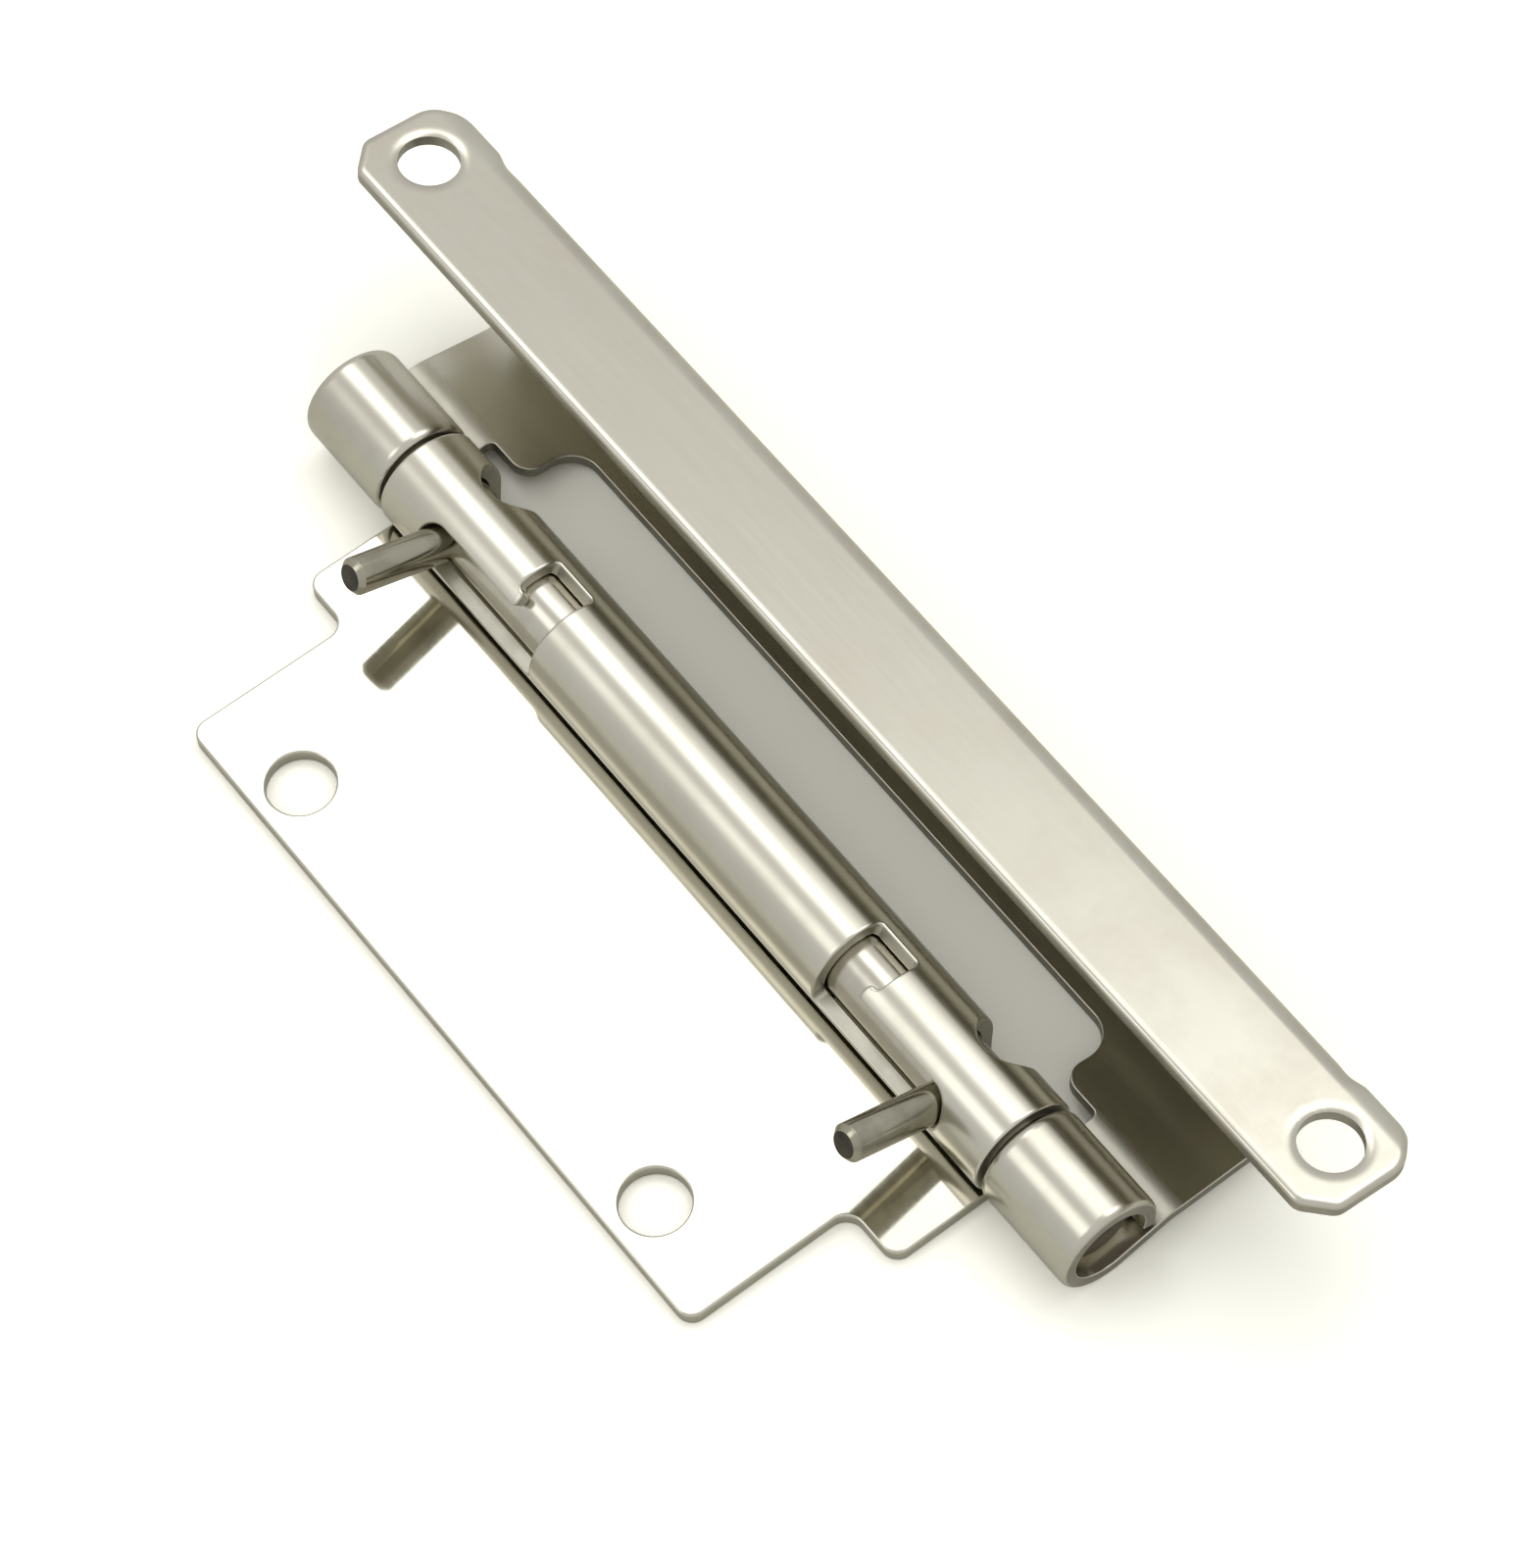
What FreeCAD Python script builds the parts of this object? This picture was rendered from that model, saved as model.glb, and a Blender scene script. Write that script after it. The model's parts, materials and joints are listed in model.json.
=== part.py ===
import FreeCAD, Part
import math
import operator
import os
import Sketcher
from FreeCAD import Placement, Rotation, Vector

# Lift-off hinge made of two folded sheets and two spring pins.
# X runs along the hinge axis, Y across it from the plate leaf to the bracket leaf, Z up.
# The part lies on the plane Z = 0. The origin is midway between the plate leaf's two screw holes, on its
# underside. Each sub-part is drawn about the hinge axis, which is then moved to its place above the plane.
# Angles round the axis are measured from +Y towards +Z, so 90 is straight up.

# Driving dimensions, in millimetres and degrees
DRIVING = {
    # Sheet and barrel
    "sheet_thickness": 1.5,
    "bore_radius": 3.75,
    "barrel_length": 88.0,
    "roll_sweep": 306.0,
    # Plate leaf: reaches are measured from the hinge axis, insets from the nearest edge
    "plate_length": 75.4,
    "plate_reach": 31.6,
    "ear_reach": 14.2,
    "plate_corner": 1.6,
    "ear_corner": 1.6,
    "ear_root": 1.8,
    "plate_hole_radius": 3.25,
    "plate_hole_spacing": 53.4,
    "plate_hole_inset": 4.7,
    # Windows of the roll: lengths along the axis and angles round it
    "middle_knuckle_length": 42.0,
    "gap_width": 4.3,
    "tooth_length": 1.1,
    "tooth_low_angle": 111.0,
    "gap_high_angle": 60.0,
    "slot_angle": 158.0,
    "slot_width": 5.0,
    "slot_inset": 5.7,
    "cross_hole_radius": 3.0,
    "cross_hole_length": 8.8,
    "cross_hole_angle": 11.0,
    # Bracket leaf: reaches and heights are measured from the hinge axis
    "bracket_angle": 7.7,
    "knuckle_gap": 0.6,
    "knuckle_length": 11.4,
    "knuckle_end_angle": 8.0,
    "crest_reach": 7.9,
    "crest_radius": 1.5,
    "flange_drop": 1.2,
    "wall_reach": 21.0,
    "wall_margin": 2.5,
    "bend_radius": 0.7,
    "tab_lap": 4.4,
    "tab_corner": 2.0,
    "window_reach": 14.1,
    "window_corner": 3.0,
    # Bar of the bracket leaf
    "bar_height": 14.8,
    "bar_width": 12.4,
    "bar_end_length": 11.5,
    "bar_chamfer": 2.6,
    "bar_hole_radius": 3.1,
    "bar_hole_inset": 5.4,
    "step_depth": 0.8,
    "step_length": 2.2,
    # Pins, handles and spring
    "pin_clearance": 0.05,
    "pin_engagement": 1.5,
    "pin_recess": 1.5,
    "pin_chamfer": 0.8,
    "handle_radius": 1.8,
    "handle_length": 14.4,
    "handle_chamfer": 0.6,
    "handle_clearance": 0.1,
    "spring_radius": 3.0,
    "spring_wire": 0.7,
    "spring_turns": 12.0,
    "spring_clearance": 0.1,
}

ORIGIN = -1
START = 1
END = 2
CENTRE = 3
# A cut that takes away less than this points the wrong way
LEAST_CUT = 0.01
# Points closer than this are the same, and an edge shorter than the next isn't one that gets rounded
SAME_PLACE = 0.01
SHORTEST_EDGE = 0.1
# How far a cutting outline runs past the faces that it cuts
PAST_FACE = 1.0
SIDES = {"left": -1, "right": 1}

document = FreeCAD.newDocument("LiftOffHinge")


class Size:
    """A size as text for the document's expressions, with its present value."""

    def __init__(self, text, value):
        self.text = text
        self.value = value

    def combine(self, sign, work, other):
        other = other if isinstance(other, Size) else Size(str(other), other)
        return Size(f"({self.text} {sign} {other.text})", work(self.value, other.value))

    def __add__(self, other):
        return self.combine("+", operator.add, other)

    def __sub__(self, other):
        return self.combine("-", operator.sub, other)

    def __mul__(self, other):
        return self.combine("*", operator.mul, other)

    def __truediv__(self, other):
        return self.combine("/", operator.truediv, other)

    def __neg__(self):
        return self * -1


class SizeSheet:
    """The spreadsheet of driving dimensions, read by name."""

    def __init__(self, values):
        self.sheet = document.addObject("Spreadsheet::Sheet", "Sizes")
        for row, (name, value) in enumerate(values.items(), start=1):
            self.sheet.set(f"A{row}", name)
            self.sheet.set(f"B{row}", str(value))
            self.sheet.setAlias(f"B{row}", name)
        document.recompute()

    def __getattr__(self, name):
        return Size(f"Sizes.{name}", float(self.sheet.get(name)))


sizes = SizeSheet(DRIVING)

zero = Size("0", 0.0)
downward = Size("-90", -90.0)
full_turn = Size("360", 360.0)
# Barrel and the windows along it
barrel_radius = sizes.bore_radius + sizes.sheet_thickness
half_barrel = sizes.barrel_length / 2
middle_end = sizes.middle_knuckle_length / 2
tooth_tip = middle_end + sizes.gap_width
tooth_root = tooth_tip + sizes.tooth_length
slot_end = half_barrel - sizes.slot_inset
hole_reach = sizes.plate_reach - sizes.plate_hole_inset
half_plate = sizes.plate_length / 2

# Bracket leaf, from its knuckles outwards
knuckle_start = half_barrel + sizes.knuckle_gap
knuckle_end = knuckle_start + sizes.knuckle_length
wall_end = knuckle_end + sizes.wall_margin
bar_end = wall_end + sizes.bar_end_length
half_window = half_barrel - sizes.tab_lap
flange_top = -sizes.flange_drop
flange_bottom = flange_top - sizes.sheet_thickness
bar_bottom = sizes.bar_height - sizes.sheet_thickness
bar_near = sizes.wall_reach - sizes.bar_width
wall_inside = sizes.wall_reach - sizes.sheet_thickness
outer_bend = sizes.bend_radius + sizes.sheet_thickness

# Pins: their outer ends stop inside the end knuckles, and each handle rests at the end of its slot
pin_radius = sizes.bore_radius - sizes.pin_clearance
pin_inner = middle_end - sizes.pin_engagement
pin_tip = knuckle_end - sizes.pin_recess
handle_place = slot_end - sizes.handle_radius - sizes.handle_clearance


def make_body(label, turn=zero):
    """Start a body that is drawn about the hinge axis, turned about it and moved to the axis's place."""
    body = document.addObject("PartDesign::Body", label)
    body.Label = label
    axis_place = Vector(0, hole_reach.value, barrel_radius.value)
    body.Placement = Placement(axis_place, Rotation(Vector(1, 0, 0), turn.value))
    body.setExpression("Placement.Base.y", hole_reach.text)
    body.setExpression("Placement.Base.z", barrel_radius.text)
    if turn is not zero:
        body.setExpression("Placement.Rotation.Angle", turn.text)
    return body


def origin_plane(body, role):
    """Find one of a body's own origin planes."""
    return next(item for item in body.Origin.OriginFeatures if item.Role == role)


def make_sketch(body, name, role="XY_Plane", turn=zero, shift=None):
    """Attach a sketch to an origin plane, turned about X or moved along one of the plane's axes."""
    sketch = body.newObject("Sketcher::SketchObject", name)
    sketch.AttachmentSupport = [(origin_plane(body, role), "")]
    sketch.MapMode = "FlatFace"
    sketch.AttachmentOffset = Placement(Vector(0, 0, 0), Rotation(Vector(1, 0, 0), turn.value))
    if turn is not zero:
        sketch.setExpression("AttachmentOffset.Rotation.Angle", turn.text)
    for axis, distance in (shift or {}).items():
        sketch.setExpression(f"AttachmentOffset.Base.{axis}", distance.text)
    return sketch


def bind(sketch, kind, *places, to):
    """Add a dimension to a sketch and bind it to a size."""
    index = sketch.addConstraint(Sketcher.Constraint(kind, *places, to.value))
    sketch.setExpression(f"Constraints[{index}]", to.text)


def bind_point(sketch, curve, place, x, y):
    """Hold one point of a curve at a given x and y."""
    bind(sketch, "DistanceX", ORIGIN, START, curve, place, to=x)
    bind(sketch, "DistanceY", ORIGIN, START, curve, place, to=y)


def draw_outline(sketch, points):
    """Draw a closed outline with straight sides through the given points."""
    first = sketch.GeometryCount
    following = points[1:] + points[:1]
    for (x1, y1), (x2, y2) in zip(points, following):
        sketch.addGeometry(Part.LineSegment(Vector(x1.value, y1.value, 0), Vector(x2.value, y2.value, 0)))
    for index, (x, y) in enumerate(points):
        before = first + (index - 1) % len(points)
        sketch.addConstraint(Sketcher.Constraint("Coincident", before, END, first + index, START))
        bind_point(sketch, first + index, START, x, y)


def draw_rectangle(sketch, left, right, bottom, top):
    """Draw a rectangle between four sizes."""
    draw_outline(sketch, [(left, bottom), (right, bottom), (right, top), (left, top)])


def draw_circle(sketch, x, y, radius):
    """Draw a circle."""
    circle = sketch.addGeometry(Part.Circle(Vector(x.value, y.value, 0), Vector(0, 0, 1), radius.value))
    bind(sketch, "Radius", circle, to=radius)
    bind_point(sketch, circle, CENTRE, x, y)


def draw_oval(sketch, x, length, radius):
    """Draw an oval with round ends, which stands across the sketch's first axis."""
    place, reach, half = x.value, (length / 2 - radius), radius.value
    high = reach.value
    for centre, first in ((high, 0), (-high, math.pi)):
        circle = Part.Circle(Vector(place, centre, 0), Vector(0, 0, 1), half)
        sketch.addGeometry(Part.ArcOfCircle(circle, first, first + math.pi))
    sketch.addGeometry(Part.LineSegment(Vector(place - half, high, 0), Vector(place - half, -high, 0)))
    sketch.addGeometry(Part.LineSegment(Vector(place + half, -high, 0), Vector(place + half, high, 0)))
    for curve, following in ((0, 2), (2, 1), (1, 3), (3, 0)):
        sketch.addConstraint(Sketcher.Constraint("Tangent", curve, END, following, START))
    for arc in (0, 1):
        bind(sketch, "Radius", arc, to=radius)
    bind_point(sketch, 0, CENTRE, x, reach)
    bind_point(sketch, 1, CENTRE, x, -reach)


def pad(body, sketch, length, midplane=False):
    """Thicken a sketch into the body."""
    feature = body.newObject("PartDesign::Pad", f"{sketch.Name}_pad")
    feature.Profile = sketch
    feature.Midplane = midplane
    feature.setExpression("Length", length.text)
    document.recompute()
    return feature


def cut(body, sketch, length=None):
    """Cut a sketch out of the body, through everything or to a length, towards the solid."""
    before = body.Shape.Volume
    feature = body.newObject("PartDesign::Pocket", f"{sketch.Name}_cut")
    feature.Profile = sketch
    if length is None:
        feature.Type = "ThroughAll"
    else:
        feature.setExpression("Length", length.text)
    document.recompute()
    if feature.Shape.Volume > before - LEAST_CUT:
        feature.Reversed = True
        document.recompute()
    return feature


def turn_about_axis(body, sketch, kind, sweep, axis="H_Axis"):
    """Turn a sketch about one of its own axes, half of the sweep to each side."""
    feature = body.newObject(f"PartDesign::{kind}", f"{sketch.Name}_turned")
    feature.Profile = sketch
    feature.ReferenceAxis = (sketch, [axis])
    feature.Midplane = True
    feature.setExpression("Angle", sweep.text)
    document.recompute()
    return feature


def barrel_sector(body, name, kind, along, radii, angles):
    """Turn a rectangle round the hinge axis between two angles, as material or as a cut."""
    sketch = make_sketch(body, name, turn=(angles[0] + angles[1]) / 2)
    draw_rectangle(sketch, *along, *radii)
    return turn_about_axis(body, sketch, kind, angles[1] - angles[0])


def find_edges(shape, direction, places):
    """Name the straight edges that run along a direction through the given places."""
    found = []
    for place in places:
        for number, edge in enumerate(shape.Edges, start=1):
            first, last = edge.firstVertex().Point, edge.lastVertex().Point
            run = last - first
            along = run.Length > SHORTEST_EDGE and run.cross(direction).Length < SAME_PLACE
            if along and (first - place).cross(direction).Length < SAME_PLACE:
                found.append(f"Edge{number}")
    if not found:
        raise RuntimeError("no edge was found where a corner is to be rounded")
    return found


def dress_edges(body, name, kind, size, direction, places):
    """Round or chamfer the straight edges that run along a direction through the given places."""
    base = body.Tip
    feature = body.newObject(f"PartDesign::{kind}", name)
    feature.Base = (base, find_edges(base.Shape, direction, places))
    feature.setExpression("Radius" if kind == "Fillet" else "Size", size.text)
    document.recompute()
    return feature


def dress_corners(body, name, kind, size, x, y):
    """Round or chamfer the two corners of a flat sheet at x and minus x."""
    places = [Vector(side * x.value, y.value, 0) for side in SIDES.values()]
    return dress_edges(body, name, kind, size, Vector(0, 0, 1), places)


def mirror(body, name, features):
    """Repeat features beyond the plane through the middle of the barrel."""
    feature = body.newObject("PartDesign::Mirrored", name)
    feature.Originals = features
    feature.MirrorPlane = (origin_plane(body, "YZ_Plane"), [""])
    body.Tip = feature
    document.recompute()
    return feature


def sided(side, near, far):
    """A span that lies on one side of the middle, from its low end to its high end."""
    return (near, far) if side > 0 else (-far, -near)


def cut_roll_windows(body):
    """Cut what lets the pin's handle slide and park: a gap, a notch, a slot and a hole opposite."""
    through = (sizes.bore_radius - PAST_FACE, barrel_radius + PAST_FACE)
    half_slot = sizes.slot_width / 2
    gap = barrel_sector(body, "gap", "Groove", (middle_end, tooth_tip), through,
                        (sizes.gap_high_angle, sizes.slot_angle))
    notch = barrel_sector(body, "notch", "Groove", (middle_end, tooth_root), through,
                          (sizes.gap_high_angle, sizes.tooth_low_angle))

    # Slot along the near flank, cut square to its middle, with a round end where the handle rests
    slot = make_sketch(body, "slot", turn=sizes.slot_angle + 90)
    centre = slot_end - half_slot
    left, middle, high = middle_end.value, centre.value, half_slot.value
    slot.addGeometry(Part.LineSegment(Vector(left, -high, 0), Vector(middle, -high, 0)))
    circle = Part.Circle(Vector(middle, 0, 0), Vector(0, 0, 1), high)
    slot.addGeometry(Part.ArcOfCircle(circle, -math.pi / 2, math.pi / 2))
    slot.addGeometry(Part.LineSegment(Vector(middle, high, 0), Vector(left, high, 0)))
    slot.addGeometry(Part.LineSegment(Vector(left, high, 0), Vector(left, -high, 0)))
    slot.addConstraint(Sketcher.Constraint("Tangent", 0, END, 1, START))
    slot.addConstraint(Sketcher.Constraint("Tangent", 1, END, 2, START))
    slot.addConstraint(Sketcher.Constraint("Coincident", 2, END, 3, START))
    slot.addConstraint(Sketcher.Constraint("Coincident", 3, END, 0, START))
    slot.addConstraint(Sketcher.Constraint("Horizontal", 0))
    slot.addConstraint(Sketcher.Constraint("Horizontal", 2))
    slot.addConstraint(Sketcher.Constraint("Vertical", 3))
    bind(slot, "Radius", 1, to=half_slot)
    bind_point(slot, 1, CENTRE, centre, zero)
    bind(slot, "DistanceX", ORIGIN, START, 3, START, to=middle_end)
    slot_cut = cut(body, slot, barrel_radius + PAST_FACE)

    # Oval hole in the far flank, opposite the handle's place and long round the barrel
    hole = make_sketch(body, "cross_hole", turn=sizes.cross_hole_angle + 90)
    draw_oval(hole, handle_place, sizes.cross_hole_length, sizes.cross_hole_radius)
    hole_cut = cut(body, hole, barrel_radius + PAST_FACE)
    mirror(body, "left_windows", [gap, notch, slot_cut, hole_cut])


def make_plate_leaf():
    """Flat plate with ears, whose sheet is rolled once round the axis and cut by the windows."""
    body = make_body("plate_leaf")

    # Plate and ears, level with the bottom of the bore
    plate = make_sketch(body, "plate", shift={"z": -barrel_radius})
    draw_rectangle(plate, -half_barrel, half_barrel, -sizes.plate_reach, zero)
    pad(body, plate, sizes.sheet_thickness)

    # Under the axis, up the far side, over the top and down to a free end above the plate
    barrel_sector(body, "roll", "Revolution", (-half_barrel, half_barrel),
                  (sizes.bore_radius, barrel_radius), (downward, downward + sizes.roll_sweep))

    # The plate is shorter than its ears
    ends = make_sketch(body, "plate_ends")
    for side in SIDES.values():
        span = sided(side, half_plate, half_barrel + PAST_FACE)
        draw_rectangle(ends, *span, -sizes.plate_reach - PAST_FACE, -sizes.ear_reach)
    cut(body, ends)
    dress_corners(body, "plate_corners", "Fillet", sizes.plate_corner, half_plate, -sizes.plate_reach)
    dress_corners(body, "ear_tips", "Fillet", sizes.ear_corner, half_barrel, -sizes.ear_reach)
    dress_corners(body, "ear_roots", "Fillet", sizes.ear_root, half_plate, -sizes.ear_reach)

    # Two screw holes near the outer edge
    holes = make_sketch(body, "plate_holes")
    for side in SIDES.values():
        draw_circle(holes, sizes.plate_hole_spacing / 2 * side, -hole_reach, sizes.plate_hole_radius)
    cut(body, holes)
    cut_roll_windows(body)
    return body


def slope_of_tab():
    """Angle at which the tab comes down from its crest to run into the bore, in radians."""
    crest = sizes.crest_radius.value + sizes.sheet_thickness.value
    reach = sizes.crest_reach.value
    rise = crest + sizes.flange_drop.value
    return math.asin((sizes.bore_radius.value + crest) / math.hypot(reach, rise)) - math.atan2(rise, reach)


def draw_knuckle_section(sketch):
    """Section of the tab and end knuckle: a crest, a slope down and a roll under and over the axis.

    The inner line is the top of the sheet and the outer line its underside. On each line come the arc
    over the crest, the straight slope and the arc round the axis, all tangent to each other.
    """
    slope = slope_of_tab()
    reach = sizes.crest_reach.value
    end_angle = math.radians(sizes.knuckle_end_angle.value)
    upper_crest = sizes.crest_radius + sizes.sheet_thickness
    crest_centre = Vector(reach, -sizes.flange_drop.value - upper_crest.value, 0)
    rise = Vector(-math.sin(slope), math.cos(slope), 0)
    top = Vector(0, 0, 1)
    for number, (crest, roll) in enumerate(((upper_crest, sizes.bore_radius),
                                            (sizes.crest_radius, barrel_radius))):
        first = 3 * number
        crest_circle = Part.Circle(crest_centre, top, crest.value)
        sketch.addGeometry(Part.ArcOfCircle(crest_circle, math.pi / 2, math.pi / 2 + slope))
        sketch.addGeometry(Part.LineSegment(crest_centre + rise * crest.value, rise * -roll.value))
        roll_circle = Part.Circle(Vector(0, 0, 0), top, roll.value)
        sketch.addGeometry(Part.ArcOfCircle(roll_circle, end_angle, slope + 1.5 * math.pi))
        sketch.addConstraint(Sketcher.Constraint("Tangent", first, END, first + 1, START))
        sketch.addConstraint(Sketcher.Constraint("Tangent", first + 1, END, first + 2, END))
        sketch.addConstraint(Sketcher.Constraint("Coincident", first + 2, CENTRE, ORIGIN, START))
        bind(sketch, "Radius", first, to=crest)
        bind(sketch, "Radius", first + 2, to=roll)
        bind(sketch, "DistanceX", ORIGIN, START, first, START, to=sizes.crest_reach)
        bind(sketch, "DistanceX", ORIGIN, START, first, CENTRE, to=sizes.crest_reach)
        bind(sketch, "DistanceY", ORIGIN, START, first, CENTRE, to=flange_top - upper_crest)
    web_edge = sketch.addGeometry(Part.LineSegment(sketch.getPoint(0, START), sketch.getPoint(3, START)))
    free_end = sketch.addGeometry(Part.LineSegment(sketch.getPoint(2, START), sketch.getPoint(5, START)))
    sketch.addConstraint(Sketcher.Constraint("Coincident", web_edge, START, 0, START))
    sketch.addConstraint(Sketcher.Constraint("Coincident", web_edge, END, 3, START))
    sketch.addConstraint(Sketcher.Constraint("Coincident", free_end, START, 2, START))
    sketch.addConstraint(Sketcher.Constraint("Coincident", free_end, END, 5, START))
    sketch.addConstraint(Sketcher.Constraint("PointOnObject", ORIGIN, START, free_end))
    bind(sketch, "Angle", free_end, to=sizes.knuckle_end_angle)


def make_bracket_leaf():
    """Folded channel with a long bar on top, a window below and a rolled knuckle at each end."""
    body = make_body("bracket_leaf", turn=-sizes.bracket_angle)
    x_axis = Vector(1, 0, 0)

    # Bar, wall and lower flange, bent at their two corners
    section = make_sketch(body, "channel", role="YZ_Plane")
    draw_outline(section, [
        (sizes.crest_reach, flange_bottom), (sizes.wall_reach, flange_bottom),
        (sizes.wall_reach, sizes.bar_height), (bar_near, sizes.bar_height),
        (bar_near, bar_bottom), (wall_inside, bar_bottom),
        (wall_inside, flange_top), (sizes.crest_reach, flange_top),
    ])
    pad(body, section, wall_end * 2, midplane=True)
    reach, inside = sizes.wall_reach.value, wall_inside.value
    dress_edges(body, "outer_bends", "Fillet", outer_bend, x_axis,
                [Vector(0, reach, sizes.bar_height.value), Vector(0, reach, flange_bottom.value)])
    dress_edges(body, "inner_bends", "Fillet", sizes.bend_radius, x_axis,
                [Vector(0, inside, bar_bottom.value), Vector(0, inside, flange_top.value)])

    # The lower flange is shorter than the wall
    ends = make_sketch(body, "flange_ends", shift={"z": flange_bottom})
    for side in SIDES.values():
        span = sided(side, knuckle_end, wall_end + PAST_FACE)
        draw_rectangle(ends, *span, sizes.crest_reach - PAST_FACE, sizes.wall_reach + PAST_FACE)
    cut(body, ends, outer_bend)

    # Window with round corners, open towards the barrel
    window = make_sketch(body, "window", shift={"z": flange_bottom})
    draw_rectangle(window, -half_window, half_window, sizes.crest_reach - PAST_FACE, sizes.window_reach)
    cut(body, window, sizes.sheet_thickness + PAST_FACE)
    dress_corners(body, "window_corners", "Fillet", sizes.window_corner, half_window, sizes.window_reach)
    dress_corners(body, "tab_corners", "Fillet", sizes.tab_corner, half_window, sizes.crest_reach)

    # Ends of the bar beyond the wall
    ears = make_sketch(body, "bar_ends", shift={"z": bar_bottom})
    flat_reach = sizes.wall_reach - outer_bend
    overlap = wall_end - PAST_FACE
    for side in SIDES.values():
        draw_outline(ears, [
            (overlap * side, bar_near), (bar_end * side, bar_near), (bar_end * side, sizes.wall_reach),
            ((wall_end + sizes.step_length) * side, sizes.wall_reach),
            (wall_end * side, sizes.wall_reach - sizes.step_depth),
            (wall_end * side, flat_reach), (overlap * side, flat_reach),
        ])
    pad(body, ears, sizes.sheet_thickness)
    for name, reach in (("near_bar_corners", bar_near), ("far_bar_corners", sizes.wall_reach)):
        dress_corners(body, name, "Chamfer", sizes.bar_chamfer, bar_end, reach)

    # One screw hole in each end of the bar
    holes = make_sketch(body, "bar_holes", shift={"z": bar_bottom})
    hole_place = bar_end - sizes.bar_hole_inset
    for side in SIDES.values():
        draw_circle(holes, hole_place * side, (bar_near + sizes.wall_reach) / 2, sizes.bar_hole_radius)
    cut(body, holes, sizes.sheet_thickness + PAST_FACE)

    # Rolled knuckles at both ends
    knuckle = make_sketch(body, "knuckle", role="YZ_Plane", shift={"z": knuckle_start})
    draw_knuckle_section(knuckle)
    right_knuckle = pad(body, knuckle, sizes.knuckle_length)
    mirror(body, "left_knuckle", [right_knuckle])
    return body


def make_pin(name, side):
    """Turned rod with chamfered ends and a blind hole for its handle."""
    body = make_body(f"{name}_pin")
    chamfer = sizes.pin_chamfer
    profile = make_sketch(body, f"{name}_pin_profile")
    draw_outline(profile, [
        (pin_inner * side, zero), (pin_inner * side, pin_radius - chamfer),
        ((pin_inner + chamfer) * side, pin_radius), ((pin_tip - chamfer) * side, pin_radius),
        (pin_tip * side, pin_radius - chamfer), (pin_tip * side, zero),
    ])
    turn_about_axis(body, profile, "Revolution", full_turn)
    hole = make_sketch(body, f"{name}_handle_hole", turn=sizes.slot_angle + 90)
    draw_circle(hole, handle_place * side, zero, sizes.handle_radius)
    cut(body, hole, barrel_radius)
    return body


def make_handle(name, side):
    """Short rod pressed into its pin, with a chamfered tip."""
    body = make_body(f"{name}_handle")
    radius, length, chamfer = sizes.handle_radius, sizes.handle_length, sizes.handle_chamfer
    profile = make_sketch(body, f"{name}_handle_profile", turn=sizes.slot_angle,
                          shift={"x": handle_place * side})
    draw_outline(profile, [(zero, zero), (radius, zero), (radius, length - chamfer),
                           (radius - chamfer, length), (zero, length)])
    turn_about_axis(body, profile, "Revolution", full_turn, axis="V_Axis")
    return body


def make_spring():
    """Compression spring between the inner ends of the two pins."""
    body = make_body("spring")
    half_wire = sizes.spring_wire / 2
    half_length = pin_inner - half_wire - sizes.spring_clearance
    wire = make_sketch(body, "spring_section")
    draw_circle(wire, -half_length, sizes.spring_radius, half_wire)
    coil = body.newObject("PartDesign::AdditiveHelix", "coil")
    coil.Profile = wire
    coil.ReferenceAxis = (wire, ["H_Axis"])
    coil.Mode = "height-turns-angle"
    coil.setExpression("Height", (half_length * 2).text)
    coil.setExpression("Turns", sizes.spring_turns.text)
    document.recompute()
    return body


def check_document():
    """Stop if any object of the document failed."""
    for item in document.Objects:
        if {"Invalid", "Error"} & set(item.State):
            raise RuntimeError(f"{item.Name} failed: {item.State}")


def write_parts(bodies):
    """Write each sub-part to a file named after it."""
    os.makedirs("parts", exist_ok=True)
    for body in bodies:
        if body.Shape.isNull() or not body.Shape.isValid() or len(body.Shape.Solids) != 1:
            raise RuntimeError(f"{body.Label} is not one valid solid")
        body.Shape.exportStep(f"parts/{body.Label}.step")
        box = body.Shape.BoundBox
        extent = f"{box.XLength:.2f} x {box.YLength:.2f} x {box.ZLength:.2f}"
        print(f"{body.Label}: {body.Shape.Volume:.1f} mm3, {extent}")


bodies = [make_plate_leaf(), make_bracket_leaf()]
for side_name, side_sign in SIDES.items():
    bodies.append(make_pin(side_name, side_sign))
    bodies.append(make_handle(side_name, side_sign))
bodies.append(make_spring())
document.recompute()
check_document()
write_parts(bodies)
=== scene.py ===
"""Looks of a lift-off hinge: two folded sheet leaves, two sliding spring pins and their handles.

Each leaf is made as the real one is: a flat blank is punched, its edges are softened, and a chain of
folds in Geometry Nodes bends it to shape. Lengths are in millimetres until a piece is finished, and
the finished pieces are in metres, in the part's own frame.
"""

import json
import logging
import math
from dataclasses import dataclass, field
from enum import Enum

import bmesh
import bpy
from mathutils import Matrix, Vector
from mathutils.geometry import delaunay_2d_cdt


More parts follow.
